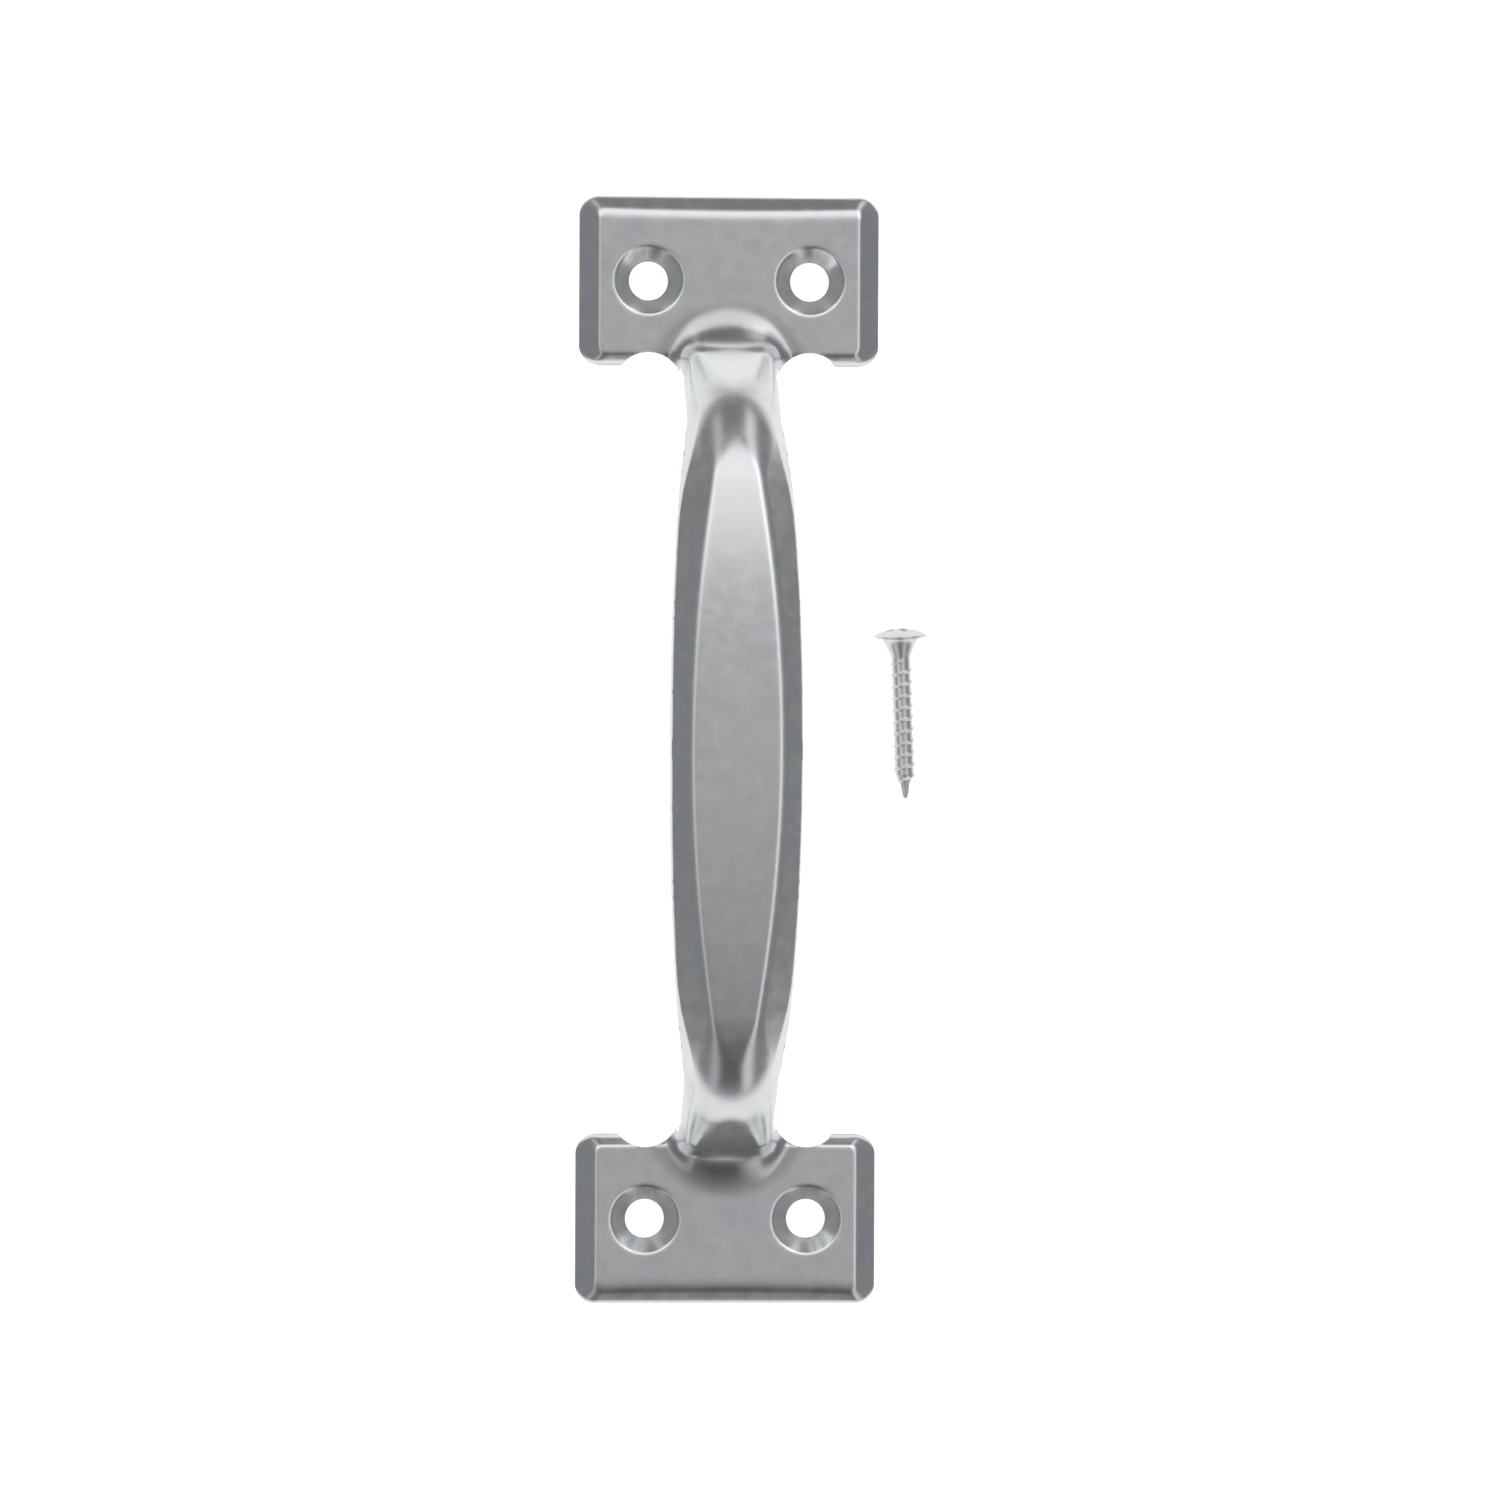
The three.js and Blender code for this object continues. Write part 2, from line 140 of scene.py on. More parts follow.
def bend_max(a, b, radius, fold):
    """Where two solids overlap, with a rounded edge between faces turned apart by the angle fold."""
    nearly_flat = 0.02
    fold = np.maximum(fold, nearly_flat)
    u, v = a + radius, b + radius
    cosine = np.cos(fold)
    arc = np.sqrt(np.maximum(u * u + v * v - 2 * u * v * cosine, 0)) / np.sin(fold)
    return np.where((u > v * cosine) & (v > u * cosine), arc - radius, np.maximum(a, b))


def bend_min(a, b, radius, fold):
    """Two solids joined, with a fillet between faces turned apart by the angle fold."""
    return -bend_max(-a, -b, radius, fold)


def soft_max(a, b, softness):
    """The larger of two values, with a gentle turn where they are about equal."""
    return (a + b + np.hypot(a - b, softness)) / 2


def ramp(value, start, end):
    """Eases from 0 at start to 1 at end."""
    t = np.clip((value - start) / (end - start), 0, 1)
    return t * t * (3 - 2 * t)


def profile(value, stops):
    """A size that eases from one stop to the next."""
    size = stops[0][1]
    for (start, before), (end, after) in zip(stops, stops[1:]):
        size = size + (after - before) * ramp(value, start, end)
    return size


def gradient(field, points):
    """The field's unit normals at the points."""
    slopes = []
    for axis in np.eye(3) * SLOPE_STEP:
        slopes.append(field(*(points + axis).T) - field(*(points - axis).T))
    normals = np.stack(slopes, axis=1)
    return normals / np.maximum(np.linalg.norm(normals, axis=1, keepdims=True), 1e-12)


def edge_crossings(field, axes, values, axis):
    """Grid edges along axis that cross the surface: lower node, point, normal, whether the edge leaves."""
    lower = tuple(slice(None, -1) if k == axis else slice(None) for k in range(3))
    upper = tuple(slice(1, None) if k == axis else slice(None) for k in range(3))
    before, after = values[lower], values[upper]
    node = np.argwhere((before < 0) != (after < 0))
    index = tuple(node.T)
    f0, f1 = before[index], after[index]
    start = np.stack([axes[k][node[:, k]] for k in range(3)], axis=1)
    step = np.eye(3)[axis] * (axes[axis][1] - axes[axis][0])
    t0, t1 = np.zeros(len(node)), np.ones(len(node))
    for _ in range(SEARCH_STEPS):
        t = t0 + (t1 - t0) * f0 / (f0 - f1)
        f = field(*(start + t[:, None] * step).T)
        same = (f < 0) == (f0 < 0)
        t0, f0 = np.where(same, t, t0), np.where(same, f, f0)
        t1, f1 = np.where(same, t1, t), np.where(same, f1, f)
    t = t0 + (t1 - t0) * f0 / np.where(f0 == f1, 1, f0 - f1)
    points = start + t[:, None] * step
    return node, points, gradient(field, points), before[index] < 0


def contour(field, low, high, step, mirrored=()):
    """Vertices and quads of the field's zero surface by dual contouring, which keeps sharp edges sharp.
    Along a mirrored axis the grid starts half a step short of 0, so the first cell's vertices lie on the
    mirror."""
    axes = [np.arange(-step / 2 if k in mirrored else low[k], high[k] + step, step) for k in range(3)]
    values = field(*np.meshgrid(*axes, indexing="ij"))
    shape = np.array([len(a) for a in axes])
    cells, points, normals, quads = [], [], [], []
    for axis in range(3):
        node, point, normal, leaving = edge_crossings(field, axes, values, axis)
        u, v = np.eye(3, dtype=int)[(axis + 1) % 3], np.eye(3, dtype=int)[(axis + 2) % 3]
        around = np.stack([node - u - v, node - v, node, node - u], axis=1)
        whole = (around >= 0).all(axis=(1, 2))
        around, point, normal, leaving = around[whole], point[whole], normal[whole], leaving[whole]
        ids = (around[..., 0] * shape[1] + around[..., 1]) * shape[2] + around[..., 2]
        quads.append(np.where(leaving[:, None], ids, ids[:, ::-1]))
        cells.append(ids.ravel())
        points.append(np.repeat(point, 4, axis=0))
        normals.append(np.repeat(normal, 4, axis=0))
    points, normals = np.concatenate(points), np.concatenate(normals)
    unique, member = np.unique(np.concatenate(cells), return_inverse=True)

    def total(weights):
        return np.bincount(member, weights, len(unique))

    count = total(np.ones(len(member)))
    mean = np.stack([total(points[:, k]) / count for k in range(3)], axis=1)
    offset = ((points - mean[member]) * normals).sum(axis=1)
    matrix = np.stack([total(normals[:, i] * normals[:, j]) for i in range(3) for j in range(3)], axis=1)
    matrix = matrix.reshape(-1, 3, 3) + STIFFNESS * np.eye(3)
    right = np.stack([total(offset * normals[:, k]) for k in range(3)], axis=1)
    move = np.linalg.solve(matrix, right[..., None])[..., 0]
    vertices = mean + np.clip(move, -REACH * step, REACH * step)
    faces = np.searchsorted(unique, np.concatenate(quads))
    corner = np.stack([unique // (shape[1] * shape[2]), unique // shape[2] % shape[1]], axis=1)
    for k in mirrored:
        vertices[corner[:, k] == 0, k] = 0
    for k in mirrored:
        vertices, faces = mirror(vertices, faces, k)
    return vertices, faces


def mirror(vertices, faces, axis):
    """Adds the mirror image across axis; vertices on the mirror are shared."""
    off = vertices[:, axis] != 0
    twin = np.where(off, len(vertices) + np.cumsum(off) - 1, np.arange(len(vertices)))
    image = vertices[off].copy()
    image[:, axis] *= -1
    return np.concatenate([vertices, image]), np.concatenate([faces, twin[faces][:, ::-1]])


# ---- Handle ----
def foot_field(x, y, z):
    """The foot as a solid block under its outer face, with bent-down edges on four sides."""
    def inset(run, ease):
        """How far the outline draws in at height z; the edge drops straight where its slope runs out."""
        return soft_max(run - (FOOT_RISE - z) / math.tan(FOOT_SLOPE), 0, ease)

    end_run = END_RUN + END_BOW * (1 - (2 * x / WIDTH) ** 2)
    corner = RIM_CORNER + (FLAT_CORNER - RIM_CORNER) * np.clip(z / FOOT_RISE, 0, 1)
    side = x - WIDTH / 2 + inset(SIDE_RUN, SIDE_EASE)
    end = y - LENGTH / 2 + inset(end_run, END_EASE)
    inner = FOOT_INNER_Y - y + inset(INNER_RUN, INNER_EASE)
    outline = round_max(round_max(side, end, corner), inner, corner)
    dip_start = LENGTH / 2 - end_run - EASE_RUN
    dip = (z - FOOT_RISE) * math.cos(EASE_TILT) + (y - dip_start) * math.sin(EASE_TILT)
    top = bend_max(z - FOOT_RISE, dip, EASE_BEND, EASE_TILT)
    block = bend_max(outline * math.sin(FOOT_SLOPE), top, FOOT_BEND, FOOT_SLOPE)
    radius = np.hypot(x - HOLE_X, y - HOLE_Y)
    cone = (radius - SINK_RADIUS) * math.sin(SINK_SLOPE) - (z - FOOT_RISE) * math.cos(SINK_SLOPE)
    return bend_max(block, -cone, SINK_LIP, SINK_SLOPE)


ARCH_RADIUS = ARCH_END_Y / math.sin(ARCH_TILT)
ARCH_Z = PROJECTION - ARCH_RADIUS
SHOULDER_Y = ARCH_END_Y - SHOULDER_RADIUS * math.sin(ARCH_TILT)
SHOULDER_Z = ARCH_Z + (ARCH_RADIUS - SHOULDER_RADIUS) * math.cos(ARCH_TILT)
LEG_Y = SHOULDER_Y + SHOULDER_RADIUS * math.sin(LEG_TILT)
LEG_Z = SHOULDER_Z + SHOULDER_RADIUS * math.cos(LEG_TILT)


def along_grip(y, z):
    """Distance from the handle's middle and depth under the outer face's centre line."""
    arch_angle = np.arctan2(y, z - ARCH_Z)
    shoulder_angle = np.arctan2(y - SHOULDER_Y, z - SHOULDER_Z)
    arch = (ARCH_RADIUS * np.sin(arch_angle), ARCH_RADIUS - np.hypot(y, z - ARCH_Z))
    shoulder = (
        SHOULDER_Y + SHOULDER_RADIUS * np.sin(shoulder_angle),
        SHOULDER_RADIUS - np.hypot(y - SHOULDER_Y, z - SHOULDER_Z),
    )
    down = (y - LEG_Y) * math.cos(LEG_TILT) - (z - LEG_Z) * math.sin(LEG_TILT)
    leg = (
        LEG_Y + down * math.cos(LEG_TILT),
        -(y - LEG_Y) * math.sin(LEG_TILT) - (z - LEG_Z) * math.cos(LEG_TILT),
    )
    on_arch, on_shoulder = arch_angle <= ARCH_TILT, shoulder_angle <= LEG_TILT
    return (np.where(on_arch, a, np.where(on_shoulder, s, g)) for a, s, g in zip(arch, shoulder, leg))


def channel_field(x, away, depth):
    """The grip and leg as solids under their outer face: flat crown, folded facets, steep lips."""
    waist = np.clip(1 - (away / GRIP_END_Y) ** GRIP_FULLNESS, 0, 1)
    half = LEG_HALF_WIDTH + (GRIP_HALF_WIDTH - LEG_HALF_WIDTH) * waist
    taper = soft_max(1 - (away / CROWN_TAPER_Y) ** 2, CROWN_NARROWEST, CROWN_EASE)
    crown = CROWN_HALF_WIDTH * taper + profile(away, CROWN_SPREAD)
    lip_run = profile(away, LIP_RUN)
    edge_depth = (half - lip_run - crown) * math.tan(FACET_TILT)
    depth = depth - profile(away, ROOT_DROP) * (x / LEG_HALF_WIDTH) ** 2
    facet = (x - crown) * math.sin(FACET_TILT) - depth * math.cos(FACET_TILT)
    lip_rise = CHANNEL_DEPTH - edge_depth
    lip = ((x - half) * lip_rise - (depth - CHANNEL_DEPTH) * lip_run) / np.hypot(lip_rise, lip_run)
    lip_tilt = np.arctan2(lip_rise, lip_run)
    top = bend_max(-depth, facet, profile(away, CROWN_BEND), FACET_TILT)
    return bend_max(top, lip, profile(away, LIP_BEND), lip_tilt - FACET_TILT)


def handle_field(x, y, z):
    """The pressing: a sheet that follows the outer faces, trimmed and pierced."""
    x, y = np.abs(x), np.abs(y)
    away, depth = along_grip(y, z)
    foot = foot_field(x, y, z)
    solid = bend_min(foot, channel_field(x, away, depth), ROOT_FILLET, LEG_TILT)
    sheet = np.maximum(solid, -solid - SHEET)
    under_root = np.maximum(x - FLANGE_END_X, y - FOOT_INNER_Y - ROOT_OPENING)
    tip_line = TIP_Y + TIP_STEEPNESS * np.maximum(TIP_X - x, 0)
    beside_leg = np.maximum(x - TIP_ROOM_X, tip_line - y)
    foot_room = np.maximum(np.minimum(FOOT_INNER_Y - y, beside_leg), -z)
    foot_room = np.maximum(foot_room, np.minimum(-under_root, UNDERSIDE - z))
    grip_room = np.maximum(depth - CHANNEL_DEPTH, UNDERSIDE - z)
    hole = HOLE_RADIUS - np.hypot(x - HOLE_X, y - HOLE_Y)
    notch = NOTCH_RADIUS - np.hypot(x - HOLE_X, y - NOTCH_Y)
    relief_across = np.minimum(x - LEG_HALF_WIDTH - RELIEF_GAP, RELIEF_END_X - x)
    relief = np.minimum(relief_across, np.minimum(tip_line - y, y - RELIEF_START_Y))
    cuts = np.maximum(np.maximum(hole, notch), relief)
    return np.maximum(np.maximum(sheet, np.minimum(foot_room, grip_room)), cuts)


# ---- Screw, in millimetres with its tip at the origin and its head along +Z ----
def screw_field(x, y, z):
    """A domed, flared head with a crossed recess, on a threaded shank with a blunt point."""
    rim = SCREW_LENGTH - DOME_HEIGHT
    radius = np.hypot(x, y)
    dome_radius = (HEAD_RADIUS**2 + DOME_HEIGHT**2) / (2 * DOME_HEIGHT)
    dome = np.hypot(radius, np.maximum(z - SCREW_LENGTH + dome_radius, 0)) - dome_radius

    cone = CONE_SPREAD * np.clip(1 - (rim - z) / CONE_HEIGHT, 0, 1)
    brim = (HEAD_RADIUS - CORE_RADIUS - CONE_SPREAD) * np.exp(np.minimum(z - rim, 0) / BRIM_THINNING)
    slope = cone / CONE_HEIGHT + brim / BRIM_THINNING
    core = np.interp(z, POINT_PLACES, POINT_RADII)
    under = (radius - core - cone - brim) / np.hypot(1, slope)
    bevel = (radius - HEAD_RADIUS + (rim - z) * RIM_SLOPE) / math.hypot(1, RIM_SLOPE)
    under = np.minimum(under, np.maximum(bevel, rim - RIM_THICKNESS - z))

    turn = z / THREAD_PITCH - np.arctan2(y, x) / (2 * math.pi)
    off_crest = np.hypot((turn - np.round(turn)) * THREAD_PITCH, CREST_ROUNDING)
    crest = np.interp(z, CREST_PLACES, CREST_RADII)
    fall = np.maximum(off_crest - CREST_FLAT, 0) * THREAD_FLANK
    thread = (radius - crest + fall) / math.hypot(1, THREAD_FLANK)

    body = round_min(under, thread, SCREW_ROUNDING)
    solid = np.maximum(round_max(body, dome, SCREW_ROUNDING), -z)
    return round_max(solid, -recess_field(x, y, SCREW_LENGTH - z), RECESS_ROUNDING)


def recess_field(x, y, down):
    """The crossed recess for the driver, narrowing as it goes down."""
    share = down / RECESS_DEPTH
    arm, wing, hub = (
        top + (bottom - top) * share for top, bottom in (RECESS_ARM, RECESS_WING, RECESS_HUB)
    )
    corner, fillet = 0.15, 0.3
    x, y = np.abs(x), np.abs(y)
    cross = np.minimum(
        round_max(x - arm, y - wing, corner),
        round_max(y - arm, x - wing, corner),
    )
    cross = round_min(cross, np.hypot(x, y) - hub, fillet)
    return np.maximum(cross, down - RECESS_DEPTH)


# ---- Materials ----
# Painted shade: the plate's colour is darkened on a ring round each root of the leg, toning down the
# highlight on the fillet there.
SHADE_RING_Y, SHADE_RING_RADIUS = 54.1, 9.8  # millimetres; its middle is on the handle's centre line
SHADE_RING_HALF_WIDTHS = 1.5 * MM, 3.5 * MM  # fully shaded up to the first, plain from the second
SHADE_RING_FADE = 2.5 * MM, 5.5 * MM  # the ring is only on the side towards the handle's end
SHADE_RING_BRIGHTNESS = 0.76  # share of the plate's brightness left on the ring
WORN_SHADE = 0.95
WORN_EDGES = 0.515, 0.6  # pointiness at which wear starts and is complete
GRAIN_HEIGHT, SCRATCH_DEPTH = 0.0018, 0.0005  # millimetres
SCRATCH_ROUGHNESS = 0.03


class Graph:
    """A node tree that adds nodes and links them by socket name."""

    def __init__(self, tree):
        self.tree = tree
        tree.nodes.clear()

    def add(self, kind, settings=None, **inputs):
        node = self.tree.nodes.new(kind)
        for name, value in (settings or {}).items():
            setattr(node, name, value)
        for name, value in inputs.items():
            key = int(name[1:]) if name[1:].isdigit() else name.replace("_", " ")
            socket = node.inputs[key]
            if isinstance(value, bpy.types.NodeSocket):
                self.tree.links.new(value, socket)
            else:
                socket.default_value = value
        return node

    def math(self, operation, *values):
        inputs = {f"i{k}": value for k, value in enumerate(values)}
        return self.add("ShaderNodeMath", {"operation": operation}, **inputs).outputs[0]

    def between(self, value, low, high, start=0.0, end=1.0):
        """Eases from low to high as value goes from start to end."""
        limits = {"From Min": start, "From Max": end, "To Min": low, "To Max": high}
        node = self.add("ShaderNodeMapRange", {"interpolation_type": "SMOOTHSTEP"}, Value=value)
        for name, limit in limits.items():
            node.inputs[name].default_value = limit
        return node.outputs[0]

    def noise(self, coordinates, scale, detail, roughness=0.55):
        inputs = {"Vector": coordinates, "Scale": scale, "Detail": detail, "Roughness": roughness}
        return self.add("ShaderNodeTexNoise", **inputs).outputs["Fac"]

    def stops(self, value, colours):
        """A colour ramp from (position, colour) stops; a grey is a colour with one level."""
        node = self.add("ShaderNodeValToRGB", i0=value)
        elements = node.color_ramp.elements
        while len(elements) < len(colours):
            elements.new(0.5)
        for element, (position, colour) in zip(elements, colours):
            element.position = position
            element.color = (*colour, 1) if len(colour) == 3 else (colour[0],) * 3 + (1,)
        return node.outputs["Color"]

    def mix(self, factor, a, b, blend="MIX"):
        node = self.add("ShaderNodeMix", {"data_type": "RGBA", "blend_type": blend})
        for socket, value in ((node.inputs["Factor"], factor), (node.inputs[6], a), (node.inputs[7], b)):
            if isinstance(value, bpy.types.NodeSocket):
                self.tree.links.new(value, socket)
            else:
                socket.default_value = value if isinstance(value, float) else (*value, 1)
        return node.outputs[2]


def painted_shade_ring(g, where):
    """1 on the ring of painted shade round each root of the leg, which tones down the highlight on the
    fillet there; fading to 0 off it.
    """
    subtract = {"operation": "SUBTRACT"}
    offset = g.add("ShaderNodeVectorMath", subtract, i0=where, i1=tuple(CENTRE * MM)).outputs[0]
    parts = g.add("ShaderNodeSeparateXYZ", Vector=offset).outputs
    along = g.math("SUBTRACT", g.math("ABSOLUTE", parts["Y"]), SHADE_RING_Y * MM)
    x_squared = g.math("MULTIPLY", parts["X"], parts["X"])
    distance = g.math("SQRT", g.math("MULTIPLY_ADD", along, along, x_squared))
    off_ring = g.math("ABSOLUTE", g.math("SUBTRACT", distance, SHADE_RING_RADIUS * MM))
    outer_side = g.between(along, 0.0, 1.0, *SHADE_RING_FADE)
    return g.math("MULTIPLY", outer_side, g.between(off_ring, 1.0, 0.0, *SHADE_RING_HALF_WIDTHS))


def zinc_plate(name, shade, roughness, unevenness, metallic, wear, painted_shade_rings=False):
    """Bright zinc plate: a satin grey with faint passivate tints and fine grain. The unevenness is the
    height of its shallow dents in millimetres, and wear is how far the edges go to a brighter shade.
    The scales of the noises are per metre."""
    material = bpy.data.materials.new(name)
    material.use_nodes = True
    g = Graph(material.node_tree)
    where = g.add("ShaderNodeTexCoord").outputs["Object"]
    shift = g.add("ShaderNodeMapping", Vector=where, Location=(0.37, 0.11, 0.23)).outputs[0]

    blue = (0.965 * shade, 0.985 * shade, 1.03 * shade)
    plain = (shade, shade, shade)
    green = (0.975 * shade, 1.01 * shade, 0.985 * shade)
    rose = (1.02 * shade, 0.985 * shade, 0.995 * shade)
    clouds = g.noise(shift, scale=75.0, detail=2.0)
    tint = g.stops(clouds, [(0.3, blue), (0.42, plain), (0.52, green), (0.62, plain), (0.72, rose)])
    mottle = g.noise(where, scale=420.0, detail=4.0, roughness=0.6)
    mottle_shade = g.stops(mottle, [(0.3, (0.965,)), (0.7, (1.03,))])
    colour = g.mix(1.0, tint, mottle_shade, "MULTIPLY")
    # painted shade on the rings round the leg's roots, darkening the colour under the fillet's highlight
    if painted_shade_rings:
        colour = g.mix(painted_shade_ring(g, where), colour, tuple(SHADE_RING_BRIGHTNESS * c for c in plain))
    pointiness = g.add("ShaderNodeNewGeometry").outputs["Pointiness"]
    worn = g.between(pointiness, 0.0, wear, *WORN_EDGES)
    colour = g.mix(worn, colour, (WORN_SHADE, WORN_SHADE, WORN_SHADE))

    grain_space = g.add("ShaderNodeMapping", Vector=where, Scale=(1.0, 0.35, 1.0)).outputs[0]
    grain = g.noise(grain_space, scale=3600.0, detail=3.0, roughness=0.6)
    dents = g.noise(shift, scale=130.0, detail=2.0, roughness=0.5)
    scratch_space = g.add("ShaderNodeMapping", Vector=where, Scale=(40.0, 1.3, 1.0)).outputs[0]
    scratch_noise = g.noise(scratch_space, scale=160.0, detail=2.0, roughness=0.5)
    scratches = g.between(scratch_noise, 0.0, 1.0, start=0.65, end=0.77)
    rough = g.between(mottle, roughness - 0.02, roughness + 0.03, start=0.3, end=0.7)
    rough = g.math("MULTIPLY_ADD", scratches, SCRATCH_ROUGHNESS, rough)

    height = g.math("MULTIPLY_ADD", grain, GRAIN_HEIGHT, g.math("MULTIPLY", dents, unevenness))
    height = g.math("MULTIPLY_ADD", scratches, -SCRATCH_DEPTH, height)
    bump = g.add("ShaderNodeBump", Height=height, Strength=1.0, Distance=MM).outputs[0]
    surface = g.add(
        "ShaderNodeBsdfPrincipled", Base_Color=colour, Metallic=metallic, Roughness=rough, Normal=bump
    )
    g.add("ShaderNodeOutputMaterial", Surface=surface.outputs[0])
    return material


PAPER_WHITE, PAPER_GLOW = 0.9, 0.82
TABLE_GLOW = 0.19, 0.92  # in reflections, where it is seen at a low angle and where it is seen steeply
TABLE_STEEPNESS = 0.17, 0.33  # sines of the angles that count as low and as steep
LOWER_END_LIFT = 0.18  # reflections towards the lower end count as this much steeper
SHADE_REACH = 5 * MM  # the table is in shade this near to metal that stands over it
SHADE_GLOW = 0.15, 1.0  # the brightness left in full shade and in the open
OPEN_SKY = 0.1, 0.95  # the share of open sky in full shade and in the open


def table_white():
    """White to the eye. In reflections it is bright seen steeply and grey seen at a low angle."""
    material = bpy.data.materials.new("white_table")
    material.use_nodes = True
    g = Graph(material.node_tree)
    paper = g.add("ShaderNodeBsdfDiffuse", Color=(PAPER_WHITE, PAPER_WHITE, PAPER_WHITE, 1)).outputs[0]
    lit = g.add("ShaderNodeEmission", Color=(1, 1, 1, 1), Strength=PAPER_GLOW).outputs[0]
    seen = g.add("ShaderNodeAddShader", i0=paper, i1=lit).outputs[0]
    incoming = g.add("ShaderNodeNewGeometry").outputs["Incoming"]
    back = g.add("ShaderNodeSeparateXYZ", Vector=incoming).outputs
    towards_lower_end = g.math("POWER", g.math("MAXIMUM", back["Y"], 0.0), 3.0)
    steepness = g.math("MULTIPLY_ADD", towards_lower_end, LOWER_END_LIFT, back["Z"])
    strength = g.between(steepness, *TABLE_GLOW, *TABLE_STEEPNESS)
    open_sky = g.add("ShaderNodeAmbientOcclusion", {"samples": 4}, Distance=SHADE_REACH).outputs["AO"]
    strength = g.math("MULTIPLY", strength, g.between(open_sky, *SHADE_GLOW, *OPEN_SKY))
    reflected = g.add("ShaderNodeEmission", Color=(1, 1, 1, 1), Strength=strength).outputs[0]
    direct = g.add("ShaderNodeLightPath").outputs["Is Camera Ray"]
    both = g.add("ShaderNodeMixShader", i0=direct, i1=reflected, i2=seen).outputs[0]
    g.add("ShaderNodeOutputMaterial", Surface=both)
    return material


# ---- Pieces ----
def make_piece(name, vertices, faces, material, body, node):
    mesh = bpy.data.meshes.new(name)
    mesh.from_pydata(vertices.tolist(), [], faces.tolist())
    mesh.shade_smooth()
    mesh.set_sharp_from_angle(angle=SHARP_ANGLE)
    mesh.materials.append(material)
    piece = bpy.data.objects.new(name, mesh)
    bpy.context.collection.objects.link(piece)
    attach(piece, body)
    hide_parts(node)
    return piece


def build_handle():
    low = (0, 0, -HANDLE_STEP * 1.5)
    high = (WIDTH / 2, LENGTH / 2, PROJECTION)
    vertices, faces = contour(handle_field, low, high, HANDLE_STEP, mirrored=(0, 1))
    material = zinc_plate(
        "handle_zinc_plate", shade=0.86, roughness=0.24, unevenness=0.009, metallic=1.0, wear=0.35,
        painted_shade_rings=True,
    )
    make_piece(
        "handle_pressing", (vertices + CENTRE) * MM, faces, material, "handle", "pull_handle"
    )


def build_screws():
    reach = HEAD_RADIUS + 0.3
    low, high = (-reach, -reach, -0.2), (reach, reach, SCREW_LENGTH + 0.2)
    vertices, faces = contour(screw_field, low, high, SCREW_STEP)
    material = zinc_plate(
        "screw_zinc_plate", shade=0.9, roughness=0.34, unevenness=0.002, metallic=0.9, wear=0.0
    )
    rise = HEAD_RADIUS - THREAD_RADIUS
    pitch = math.atan(rise / (SCREW_LENGTH - DOME_HEIGHT - THREAD_FULL))
    for n, (node, yaw, spin) in enumerate(zip(SCREW_NODES, SCREW_YAWS, SCREW_SPINS), start=1):
        turn = (
            Matrix.Rotation(math.radians(yaw), 3, "Z")
            @ Matrix.Rotation(pitch - math.pi / 2, 3, "X")
            @ Matrix.Rotation(math.radians(spin), 3, "Z")
        )
        placed = vertices @ np.array(turn).T * MM
        low_corner, high_corner = (np.array(corner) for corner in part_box(node))
        target = np.append((low_corner + high_corner)[:2] / 2, low_corner[2])
        here = (placed.min(axis=0) + placed.max(axis=0)) / 2
        here[2] = placed[:, 2].min()
        placed += target - here
        make_piece(f"screw_{n}_body", placed, faces, material, f"screw_{n}", node)


# ---- Table, light and camera ----
def build_table():
    half = 2.0
    clearance = 0.1 * MM  # keeps the table's face off the metal that rests on it
    corners = [(-half, -half, 0), (half, -half, 0), (half, half, 0), (-half, half, 0)]
    mesh = bpy.data.meshes.new("table_top")
    mesh.from_pydata(corners, [], [(0, 1, 2, 3)])
    mesh.materials.append(table_white())
    table = bpy.data.objects.new("table_top", mesh)
    table.location.z = -clearance
    bpy.context.collection.objects.link(table)


# Brightness of the room by direction, in degrees from straight up, towards the lower end (negative) or
# the upper end: first as the metal sees it, then as it is seen by way of a second piece of metal.
SKY = [
    (-90, 0.14), (-60, 0.08), (-50, 0.12), (-30, 0.21), (-20, 0.3), (-12, 0.35), (0, 0.385),
    (6, 0.405), (17.5, 0.41), (23, 0.95), (52, 1.0), (60, 0.22), (90, 0.17),
]
DEEP_SKY = [
    (-33, 0.1), (-27, 0.1), (-24, 0.9), (-15, 0.9), (-11, 0.1),
    (11, 0.1), (15, 0.9), (24, 0.9), (27, 0.1), (33, 0.1), (38, 0.88), (68, 0.88), (74, 0.1),
]
# Long lights on either side, by the sideways part of the direction (negative is left)
SIDE_STRIPS = [
    (-0.62, 0), (-0.52, 0.3), (-0.42, 0.3), (-0.32, 0),
    (0.25, 0), (0.35, 0.55), (0.48, 0.55), (0.62, 0),
]
SIDE_WALL, SIDE_WALL_FROM_TO = (0.21, 0.215, 0.235), (0.3, 0.85)  # and where the room fades into it
DEEP_SIDE_WALL, DEEP_SIDE_WALL_FROM_TO = (0.8, 0.82, 0.85), (0.42, 0.55)
SECOND_BOUNCE = 2.5  # ray depth above which light has come by way of a second piece of metal
SECOND_BOUNCE_LIFT = 0.4


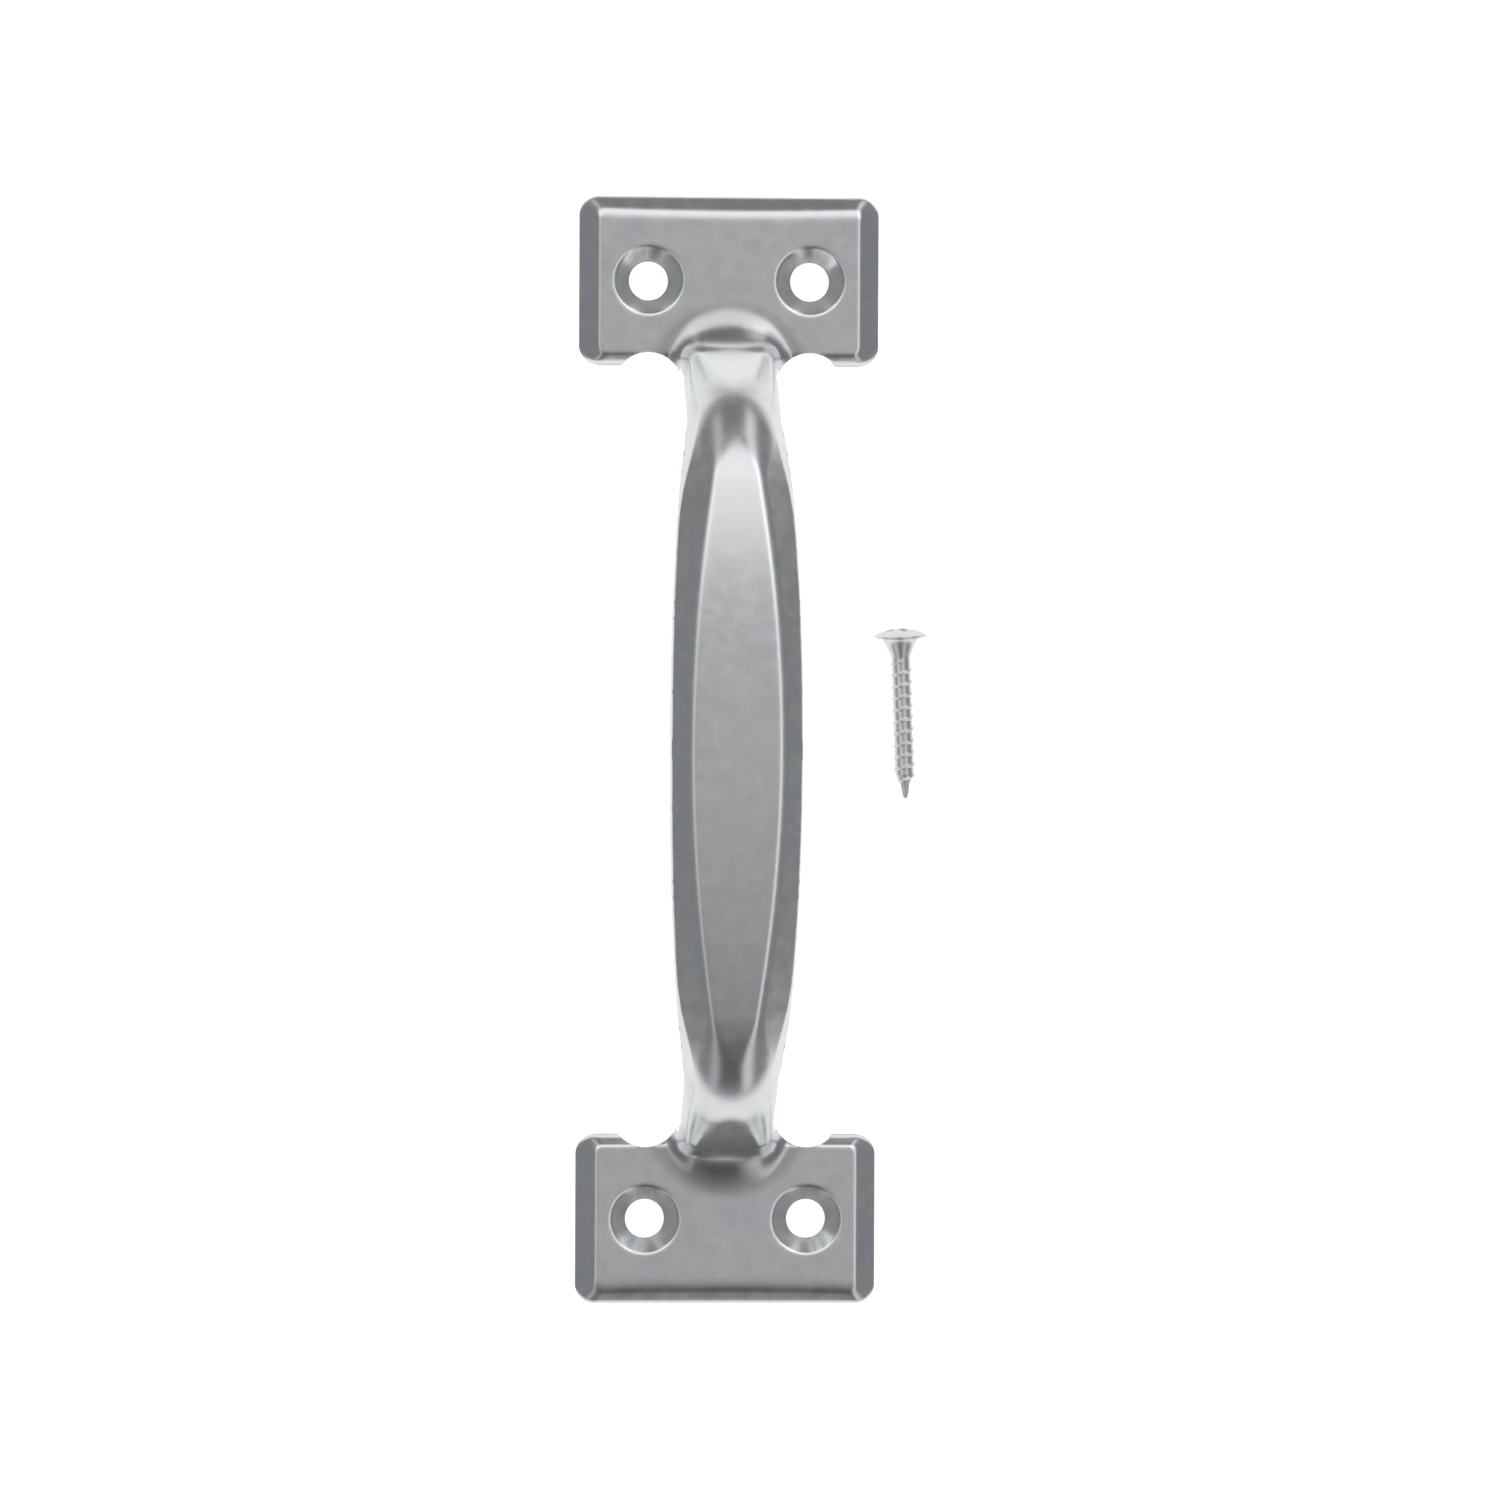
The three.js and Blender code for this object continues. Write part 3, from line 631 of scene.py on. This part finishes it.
def studio_light():
    """A room with a soft box beyond the handle's upper end and a long light on either side. It is plain
    white where the camera looks straight at it."""
    world = bpy.data.worlds.new("studio")
    bpy.context.scene.world = world
    world.use_nodes = True
    g = Graph(world.node_tree)
    direction = g.add("ShaderNodeTexCoord").outputs["Generated"]
    parts = g.add("ShaderNodeSeparateXYZ", Vector=direction).outputs
    lean = g.math("ARCTAN2", parts["Y"], parts["Z"])
    share = g.math("MULTIPLY_ADD", lean, 1 / math.pi, 0.5)
    first, deep = (
        g.stops(share, [(0.5 + degrees / 180, (level,)) for degrees, level in levels])
        for levels in (SKY, DEEP_SKY)
    )
    sideways = g.math("ABSOLUTE", parts["X"])
    side_share = g.math("MULTIPLY_ADD", parts["X"], 0.5, 0.5)
    strips = g.stops(side_share, [(0.5 + 0.5 * x, (level,)) for x, level in SIDE_STRIPS])
    first = g.mix(g.between(sideways, 0.0, 1.0, *SIDE_WALL_FROM_TO), first, SIDE_WALL)
    first = g.mix(1.0, first, strips, "ADD")
    deep = g.mix(g.between(sideways, 0.0, 1.0, *DEEP_SIDE_WALL_FROM_TO), deep, DEEP_SIDE_WALL)
    path = g.add("ShaderNodeLightPath").outputs
    by_metal = g.math("GREATER_THAN", path["Ray Depth"], SECOND_BOUNCE)
    light = g.mix(by_metal, first, deep)
    light = g.mix(path["Is Camera Ray"], light, (1.0, 1.0, 1.0))
    strength = g.math("MULTIPLY_ADD", by_metal, SECOND_BOUNCE_LIFT, 1.0)
    background = g.add("ShaderNodeBackground", Color=light, Strength=strength).outputs[0]
    g.add("ShaderNodeOutputWorld", Surface=background)


def place_camera():
    """Nearly straight above, from a little to the left, through a long lens."""
    distance = 1.0
    frame_width = 223.2 * MM
    lean = math.radians(3.2)
    roll = math.radians(0.25)
    target = Vector((CENTRE + (3.3, 0, FOOT_RISE)) * MM)
    camera_data = bpy.data.cameras.new("camera")
    camera_data.lens = camera_data.sensor_width * distance / frame_width
    camera = bpy.data.objects.new("camera", camera_data)
    bpy.context.collection.objects.link(camera)
    turn = Matrix.Rotation(-lean, 4, "Y") @ Matrix.Rotation(roll, 4, "Z")
    camera.matrix_world = Matrix.Translation(target) @ turn @ Matrix.Translation((0, 0, distance))
    bpy.context.scene.camera = camera


build_handle()
build_screws()
build_table()
studio_light()
place_camera()
bpy.context.scene.view_settings.view_transform = "Standard"
